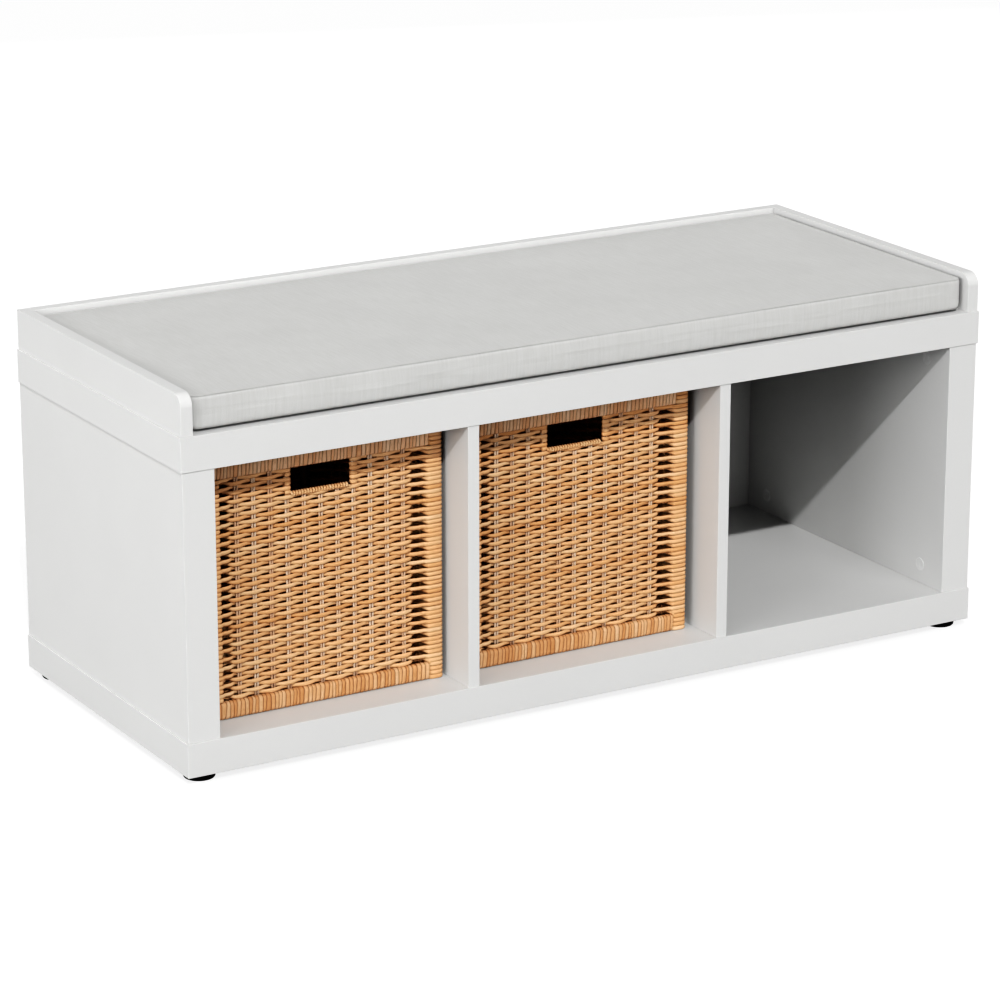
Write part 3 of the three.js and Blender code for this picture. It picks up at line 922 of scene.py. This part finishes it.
def add_basket_base(basket, material):
    """A flat plain-woven base: weavers along X over pairs of stakes along Y."""
    low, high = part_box(f"{basket.label}_base")
    bundle = Bundle()
    z = (low.z + high.z) / 2
    count = int((high.y - low.y) / BASE_ROW_PITCH)
    step = STAKE_PITCH / 4
    x = np.arange(low.x, high.x + step / 2, step)
    first = low.x + STAKE_PITCH / 2
    for row in range(count):
        y = low.y + (row + 0.5) * (high.y - low.y) / count
        swing = np.cos(np.pi * (x - first) / STAKE_PITCH) * (1 if row % 2 else -1)
        line = np.column_stack([x, np.full(len(x), y), z + 2.2 * MM * swing])
        bundle.strand(line, UP, (0.0, 1.0, 0.0), 1.4 * MM, 2.5 * MM, basket.tint(), sides=6)
    for i in range(int((high.x - first) / STAKE_PITCH) + 1):
        for sign in (-1, 1):
            x_stake = first + i * STAKE_PITCH + sign * STAKE_SPREAD
            line = np.column_stack([np.full(6, x_stake), np.linspace(low.y, high.y, 6), np.full(6, z)])
            bundle.strand(line, UP, (1.0, 0.0, 0.0), 1.2 * MM, 1.2 * MM, basket.tint(), sides=6)
    basket.finish(bundle, "woven_base", material, "base")


def add_basket(label, seed):
    basket = Basket(label, seed)
    add_weave(basket, rattan)
    add_stakes(basket, stake_rattan)
    # The top border takes the lighter rattan, which paints in light.
    add_border(basket, "top_border", basket.top, rim_rattan_painted_light, 2.2 * MM)
    add_border(basket, "bottom_border", basket.bottom, wrap_rattan, 4.2 * MM)
    add_corner_windings(basket, rattan)
    add_corner_posts(basket, stake_rattan)
    add_sill(basket, rattan)
    add_basket_base(basket, rattan)


# ---- small parts


def turned_part(bundle, centre, axis, profile, sides=40):
    """Adds a turned shape to a bundle. The profile gives (radius, distance along the axis) pairs."""
    axis = np.array(axis, float)
    side = np.array((0.0, 0.0, 1.0)) if abs(axis[2]) < 0.5 else np.array((1.0, 0.0, 0.0))
    radii = np.array([p[0] for p in profile]) * MM
    line = np.array(centre) + np.outer([p[1] * MM for p in profile], axis)
    bundle.strand(line, side, np.cross(axis, side), radii, radii, 0.5, sides=sides)


def add_turned(node, name, slot, centre, axis, profile, material, sides=40):
    """A turned piece of its own that stands for a CAD node."""
    bundle = Bundle()
    turned_part(bundle, centre, axis, profile, sides)
    piece = bundle.piece(name, material)
    piece.data.set_sharp_from_angle(angle=math.radians(50))
    finish_piece(piece, "carcass", slot, node)


def add_feet(material):
    """Moulded glides: a rounded tread, a waist groove and a flange against the slab."""
    profile = [(2.0, 0.6), (11.0, 0.5), (12.5, 0.0), (16.2, 0.0), (17.6, 0.5), (18.5, 1.6), (18.8, 3.0),
               (18.8, 6.2), (18.5, 6.7), (17.8, 6.9), (17.8, 7.5), (18.5, 7.7), (18.9, 8.1), (18.9, 9.9)]
    for node in [name for name in frame["nodes"] if name.startswith("foot_") and "screw" not in name]:
        low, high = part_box(node)
        centre = ((low.x + high.x) / 2, (low.y + high.y) / 2, low.z)
        add_turned(node, node.replace("foot", "glide"), "foot", centre, (0, 0, 1), profile, material, 56)


def add_caps(material):
    """Cover caps pressed over the fittings: a soft rim round a shallow dish."""
    profile = [(8.6, -0.2), (8.6, 0.2), (8.35, 0.45), (7.9, 0.58), (7.3, 0.58), (6.9, 0.44), (6.4, 0.38),
               (1.6, 0.44), (0.4, 0.44)]
    for node in [name for name in frame["nodes"] if name.startswith("cam_cap")]:
        low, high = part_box(node)
        inward = 1.0 if low.x < 0 else -1.0
        face = high.x - 0.6 * MM if inward > 0 else low.x + 0.6 * MM
        centre = (face, (low.y + high.y) / 2, (low.z + high.z) / 2)
        name = node.replace("cam_cap", "cover_cap")
        add_turned(node, name, "cap", centre, (inward, 0, 0), profile, material)


def add_back_nails(material):
    """Small nails along the back sheet's edges and along the dividers behind it."""
    low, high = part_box("back_panel")
    divider = sum(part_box("right_divider"), Vector()).x / 2
    edge = 6 * MM
    places = []
    for x in np.linspace(low.x + edge, high.x - edge, 13):
        places += [(x, low.z + edge), (x, high.z - edge)]
    for z in np.linspace(low.z + edge, high.z - edge, 6)[1:-1]:
        places += [(x, z) for x in (low.x + edge, -divider, divider, high.x - edge)]
    profile = [(1.9, -0.3), (1.9, 0.1), (1.6, 0.3), (0.9, 0.42), (0.2, 0.45)]
    bundle = Bundle()
    for x, z in places:
        turned_part(bundle, (x, high.y, z), (0, 1, 0), profile, 14)
    finish_piece(bundle.piece("back_nails", material), "carcass", "steel")


# ---- cushion


def puff(low, high):
    """Blows up a coarse copy of the cushion as cloth. Returns its points and how far each one moved."""
    bm = bmesh.new()
    bmesh.ops.create_cube(bm, size=1.0)
    shrink = Vector((3, 3, 2)) * MM
    size = [high[i] - low[i] - 2 * shrink[i] for i in range(3)]
    for v in bm.verts:
        v.co = Vector([(low[i] + high[i]) / 2 + v.co[i] * size[i] for i in range(3)])
    pad = new_object("puffed", mesh_from(bm, "puffed"))
    remesh = pad.modifiers.new("remesh", "REMESH")
    remesh.mode = "VOXEL"
    remesh.voxel_size = 6 * MM
    apply_modifiers(pad)
    points = mesh_points(pad.data)
    seams = pad.vertex_groups.new(name="seams")
    side = from_sides(points, low, high)
    held = (points[:, 2] < low.z + 4 * MM) | ((side < 7 * MM) & (points[:, 2] > high.z - 5 * MM))
    seams.add([int(i) for i in np.flatnonzero(held)], 1.0, "REPLACE")
    settings = pad.modifiers.new("cloth", "CLOTH").settings
    settings.use_pressure = True
    settings.uniform_pressure_force = 4.0
    settings.effector_weights.gravity = 0.0
    settings.vertex_group_mass = "seams"
    settings.quality = 4
    for number in range(1, CLOTH_FRAMES + 1):
        bpy.context.scene.frame_set(number)
    graph = bpy.context.evaluated_depsgraph_get()
    moved = mesh_points(pad.evaluated_get(graph).data) - points
    bpy.data.objects.remove(pad)
    bpy.context.scene.frame_set(1)
    return points, moved


def mesh_points(mesh):
    points = np.empty(len(mesh.vertices) * 3, np.float32)
    mesh.vertices.foreach_get("co", points)
    return points.reshape(-1, 3).astype(float)


def from_sides(points, low, high):
    """How far each point is inside the nearest side of a box, in plan."""
    x, y = points[:, 0], points[:, 1]
    return np.minimum.reduce([x - low.x, high.x - x, y - low.y, high.y - y])


def soft_limit(values, limit):
    return limit * np.tanh(values / limit)


def spread_moves(points, moved, wanted):
    """How far each wanted point moves, from the coarse points nearest to it."""
    tree = kdtree.KDTree(len(points))
    for i, p in enumerate(points):
        tree.insert(p, i)
    tree.balance()
    made = np.zeros((len(wanted), 3))
    for i, p in enumerate(wanted):
        near = tree.find_n(p, 8)
        weight = np.array([1.0 / (distance + 2 * MM) ** 2 for _, _, distance in near])
        made[i] = (moved[[index for _, index, _ in near]] * weight[:, None]).sum(0) / weight.sum()
    return made


def uneven_steps(half, step):
    """Places from -half to half, close together near both ends."""
    near = np.array([0.0, 1.5, 3.2, 5.5, 8.5, 12.5, 18.0, 25.0]) * MM
    count = max(2, int((2 * half - 2 * near[-1]) / step))
    middle = np.linspace(-half + near[-1], half - near[-1], count + 1)[1:-1]
    return np.concatenate([-half + near, middle, (half - near)[::-1]])


def round_corners(x, y, half_x, half_y, radius):
    """Moves the points of a rectangle's corner squares into quarter rounds."""
    a = (np.abs(x) - (half_x - radius)) / radius
    b = (np.abs(y) - (half_y - radius)) / radius
    corner = (a > 0) & (b > 0)
    round_a = a * np.sqrt(np.clip(1 - b * b / 2, 0, 1))
    round_b = b * np.sqrt(np.clip(1 - a * a / 2, 0, 1))
    new_x = np.sign(x) * (half_x - radius + radius * round_a)
    new_y = np.sign(y) * (half_y - radius + radius * round_b)
    reach = np.sqrt(np.clip(round_a, 0, None) ** 2 + np.clip(round_b, 0, None) ** 2)
    distance = np.where(corner, radius * (1 - reach), np.minimum(half_x - np.abs(x), half_y - np.abs(y)))
    return np.where(corner, new_x, x), np.where(corner, new_y, y), distance


def slow_waves(rng, x, y, size, count, shortest, longest):
    """A sum of gentle waves over a plane."""
    made = np.zeros_like(x)
    for _ in range(count):
        length = rng.uniform(shortest, longest)
        turn = rng.uniform(0, 2 * np.pi)
        made += np.sin(2 * np.pi * (x * np.cos(turn) + y * np.sin(turn)) / length + rng.uniform(0, 2 * np.pi))
    return size * made / math.sqrt(count)


def cushion_profile(depth):
    """(inset, distance below the top) pairs: roll, seam, boxing with the zip's slot, and underside roll."""
    lift = CUSHION_LIFT / MM
    upper = [(1.25, 0.45), (1.1, 0.9), (2.7, SEAM_DEPTH / MM), (1.0, 1.9), (0.5, 2.6), (0.2, 4.0),
             (0.05, 6.5)]
    boxing = [(0.0, CUSHION_RISE / MM + drop) for drop in (10.0, 13.0, 13.9, 14.6, 19.4, 20.1, 21.0, 25.0)]
    bottom = depth / MM - lift
    lower = [(0.1, bottom - 7.0), (0.4, bottom - 4.0), (1.2, bottom - 2.0), (2.4, bottom - 0.8),
             (3.4, bottom - 0.2)]
    return [(a * MM, b * MM) for a, b in upper + boxing + lower]


def add_cushion(material):
    """The boxed pad: a crowned top, a side with a seam and the zip's slot, and a rounded underside."""
    low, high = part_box("cushion_cover")
    rng = random_source(5)
    middle = (low + high) / 2
    half_x, half_y = (high.x - low.x) / 2 - CUSHION_ROLL, (high.y - low.y) / 2 - CUSHION_ROLL
    radius = CUSHION_CORNER - CUSHION_ROLL
    flat_x, flat_y = np.meshgrid(uneven_steps(half_x, 9 * MM), uneven_steps(half_y, 9 * MM), indexing="ij")
    x, y, distance = round_corners(flat_x, flat_y, half_x, half_y, radius)
    top = high.z + CUSHION_RISE - 0.3 * MM * np.exp(-distance / (6 * MM)) - 0.25 * MM
    top = top + slow_waves(rng, x, y, 0.22 * MM, 9, 0.09, 0.35) * smooth_step(distance / (30 * MM))
    bottom = low.z + CUSHION_LIFT * np.exp(-((distance / (22 * MM)) ** 2))
    top_points, bottom_points = (np.column_stack([x.ravel(), y.ravel(), z.ravel()]) for z in (top, bottom))
    index = np.arange(x.size).reshape(x.shape)
    around = np.concatenate([index[:-1, 0], index[-1, :-1], index[1:, -1][::-1], index[0, 1:][::-1]])
    rim = top_points[around, :2]
    out = unit(rim - np.clip(rim, (-half_x + radius, -half_y + radius), (half_x - radius, half_y - radius)))
    rim_flat = np.column_stack([flat_x.ravel(), flat_y.ravel()])[around]
    travel = np.concatenate([[0], np.cumsum(np.linalg.norm(np.diff(rim_flat, axis=0), axis=1))])
    rings = cushion_side(rng, rim, out, travel, middle.x, low, high)
    points = np.concatenate([top_points, *rings, bottom_points]) + (middle.x, middle.y, 0.0)
    points = points + cushion_moves(points, low, high)
    quads = cushion_quads(index, around, len(rings))
    piece = mesh_object("seat_cushion", points, [np.concatenate(quads)], material)
    piece.data.set_sharp_from_angle(angle=math.radians(60))
    finish_piece(piece, "cushion", "cushion_cloth", "cushion_cover", "cushion_foam")


def cushion_side(rng, rim, out, travel, middle_x, low, high):
    """Rings of points down the cushion's side. The rings at the zip's height step in along the zip."""
    zip_low, zip_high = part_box("cushion_zip")
    zip_reach = zip_high.x + 4 * MM - np.abs(rim[:, 0] + middle_x)
    along_zip = smooth_step(zip_reach / (6 * MM)) * (out[:, 1] > 0.99)
    rings = []
    for inset, drop in cushion_profile(high.z + CUSHION_RISE - low.z):
        height = high.z + CUSHION_RISE - drop
        in_zip = 1.0 if zip_low.z - 0.4 * MM < height < zip_high.z + 0.4 * MM else 0.0
        bulge = slow_waves(rng, travel, travel * 0 + drop * 6, 0.12 * MM, 7, 0.05, 0.22)
        pushed = CUSHION_ROLL - inset - 2.6 * MM * in_zip * along_zip + bulge
        rings.append(np.column_stack([rim + out * pushed[:, None], np.full(len(rim), height)]))
    return rings


def cushion_quads(index, around, ring_count):
    """The faces of the cushion: its top and bottom grids, and the bands between the rings of its side."""
    n, count = len(around), index.size
    last = count + ring_count * n
    cells = np.stack([index[:-1, :-1], index[1:, :-1], index[1:, 1:], index[:-1, 1:]], -1).reshape(-1, 4)
    loops = [around] + [count + k * n + np.arange(n) for k in range(ring_count)] + [last + around]
    quads = [cells, cells[:, ::-1] + last]
    for upper, lower in zip(loops[:-1], loops[1:]):
        quads.append(np.column_stack([upper, lower, np.roll(lower, -1), np.roll(upper, -1)]))
    return quads


def cushion_moves(points, low, high):
    """The simulated swelling at each point of the cushion, held back so that the pad stays flat and boxed."""
    coarse, moved = puff(low, high)
    moves = spread_moves(coarse, moved, points)
    moves[:, 2] = soft_limit(np.clip(moves[:, 2], 0, None), CROWN_LIMIT)
    moves[:, :2] = soft_limit(moves[:, :2], SIDE_LIMIT)
    side = from_sides(points, low, high)
    depth = high.z + CUSHION_RISE - points[:, 2]
    above_base = points[:, 2] - low.z
    boxing = smooth_step((depth - SEAM_DEPTH) / (6 * MM)) * smooth_step((above_base - 5 * MM) / (6 * MM))
    moves[:, :2] *= (boxing * (side < 3 * MM))[:, None]
    moves[:, 2] *= smooth_step((side - 2.5 * MM) / (60 * MM)) * (depth < 3 * MM)
    return moves


def add_zip(tape_material, metal):
    """A closed zip in the slot at the back of the cover: tape, two rows of teeth and the slider."""
    low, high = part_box("cushion_zip")
    middle = (low.z + high.z) / 2
    back = high.y
    x = np.linspace(low.x + 0.5 * MM, high.x - 0.5 * MM, 301)
    across = np.array([-2.6, -2.2, -1.3, -0.9, 0.9, 1.3, 2.2, 2.6]) * MM
    rise = np.array([-0.5, -0.15, -0.1, -0.35, -0.35, -0.1, -0.15, -0.5]) * MM
    points = np.stack(np.meshgrid(x, across, indexing="ij"), -1).reshape(-1, 2)
    verts = np.column_stack([points[:, 0], back - 0.2 * MM + np.tile(rise, len(x)), middle + points[:, 1]])
    m = len(across)
    rows, cols = np.arange(len(x) - 1)[:, None], np.arange(m - 1)[None, :]
    first = (rows * m + cols).ravel()
    tape = mesh_object("zip_tape", verts, [np.column_stack([first, first + 1, first + m + 1, first + m])],
                       tape_material)
    solid = tape.modifiers.new("thickness", "SOLIDIFY")
    solid.thickness = 0.4 * MM
    finish_piece(apply_modifiers(tape), "cushion", "zip", "cushion_zip")
    bundle = Bundle()
    for i, place in enumerate(np.arange(low.x + 3 * MM, high.x - 3 * MM, 2.2 * MM)):
        for sign in (-1, 1):
            u = place + sign * 0.55 * MM
            z = middle + np.array([1.35, 1.25, 0.1, -0.15]) * sign * MM
            line = np.column_stack([np.full(4, u), np.full(4, back - 0.25 * MM), z])
            size = np.array([0.3, 0.42, 0.45, 0.38]) * MM
            bundle.strand(line, (0.0, 1.0, 0.0), (1.0, 0.0, 0.0), size, size * 1.2, 0.5, sides=6)
    finish_piece(bundle.piece("zip_teeth", tape_material), "cushion", "zip")
    add_slider(metal)


def add_slider(metal):
    """The zip's slider: a waisted body, and a bridge with a pull tab that points along the zip."""
    low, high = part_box("zip_slider")
    centre = (low + high) / 2
    half = (high - low) / 2
    body = [(-1.0, 0.62), (-0.55, 0.72), (-0.1, 0.80), (0.35, 1.0), (0.8, 0.95), (1.0, 0.7)]
    pull = [(0.30, 0.25), (-0.15, 0.25), (-0.75, 0.42), (-0.92, 0.36), (-1.0, 0.2)]
    bridge = [(0.75, 0.14), (-0.2, 0.14)]
    body_top = low.y + (high.y - low.y) * 0.45
    bm = bmesh.new()
    for outline, start, end in ((body, low.y, body_top), (pull, body_top + 0.2 * MM, high.y),
                                (bridge, body_top - 0.1 * MM, high.y + 0.25 * MM)):
        ring = outline + [(a, -b) for a, b in outline[::-1]]
        extrude(bm, [(centre.x + a * half.x, start, centre.z + b * half.z) for a, b in ring], 1, end)
    ease_edges(bm, 40, 0.12 * MM, 2)
    piece = shaded_board("slider_body", mesh_from(bm, "slider_body"), metal)
    finish_piece(piece, "zip_slider", "steel", "zip_slider")


# ---- the model

set_film()
add_camera()
add_world()
add_lights()
add_stage()

board = board_material("white_board", (0.83, 0.83, 0.82), 0.48)
# The back sheet is white board; its greyer colour here is painted shade for the deep bays.
back_sheet = board_material("back_sheet_shaded_white", (0.74, 0.74, 0.73), 0.6)
cap_plastic = plastic_material("white_cap_plastic", (0.86, 0.86, 0.85), 0.4)
foot_plastic = plastic_material("black_foot_plastic", (0.012, 0.012, 0.013), 0.42)
steel = steel_material()
cushion_cloth = cloth_material("cushion_cloth", (0.745, 0.745, 0.73))
zip_tape = cloth_material("zip_tape", (0.55, 0.55, 0.54))
rattan = rattan_material("rattan", (0.0, (0.80, 0.42, 0.20)), (0.35, (0.88, 0.495, 0.262)),
                         (0.7, (0.92, 0.555, 0.31)), (1.0, (0.94, 0.61, 0.365)))
wrap_rattan = rattan_material("wrap_rattan", (0.0, (0.65, 0.32, 0.15)), (0.35, (0.74, 0.395, 0.205)),
                              (0.7, (0.78, 0.45, 0.25)), (1.0, (0.82, 0.52, 0.32)))
# A lighter copy of the rattan for the top border: painted light that makes up for the shade under the top
# slab.
rim_rattan_painted_light = rattan_material("rim_rattan_painted_light", (0.0, (0.87, 0.495, 0.285)), (0.35, (0.92, 0.57, 0.355)),
                             (0.7, (0.95, 0.625, 0.41)), (1.0, (0.96, 0.67, 0.465)))
stake_rattan = rattan_material("stake_rattan", (0.0, (0.72, 0.46, 0.31)), (0.5, (0.84, 0.59, 0.43)),
                               (1.0, (0.90, 0.70, 0.55)))

add_cushion(cushion_cloth)
add_zip(zip_tape, steel)
add_boards(board, back_sheet)
add_feet(foot_plastic)
add_caps(cap_plastic)
add_back_nails(steel)
for node, part in frame["nodes"].items():
    if node.startswith("foot_screw") or node.startswith("cam_fitting"):
        part.data.materials[0] = steel
add_basket("left_basket", 11)
add_basket("middle_basket", 23)
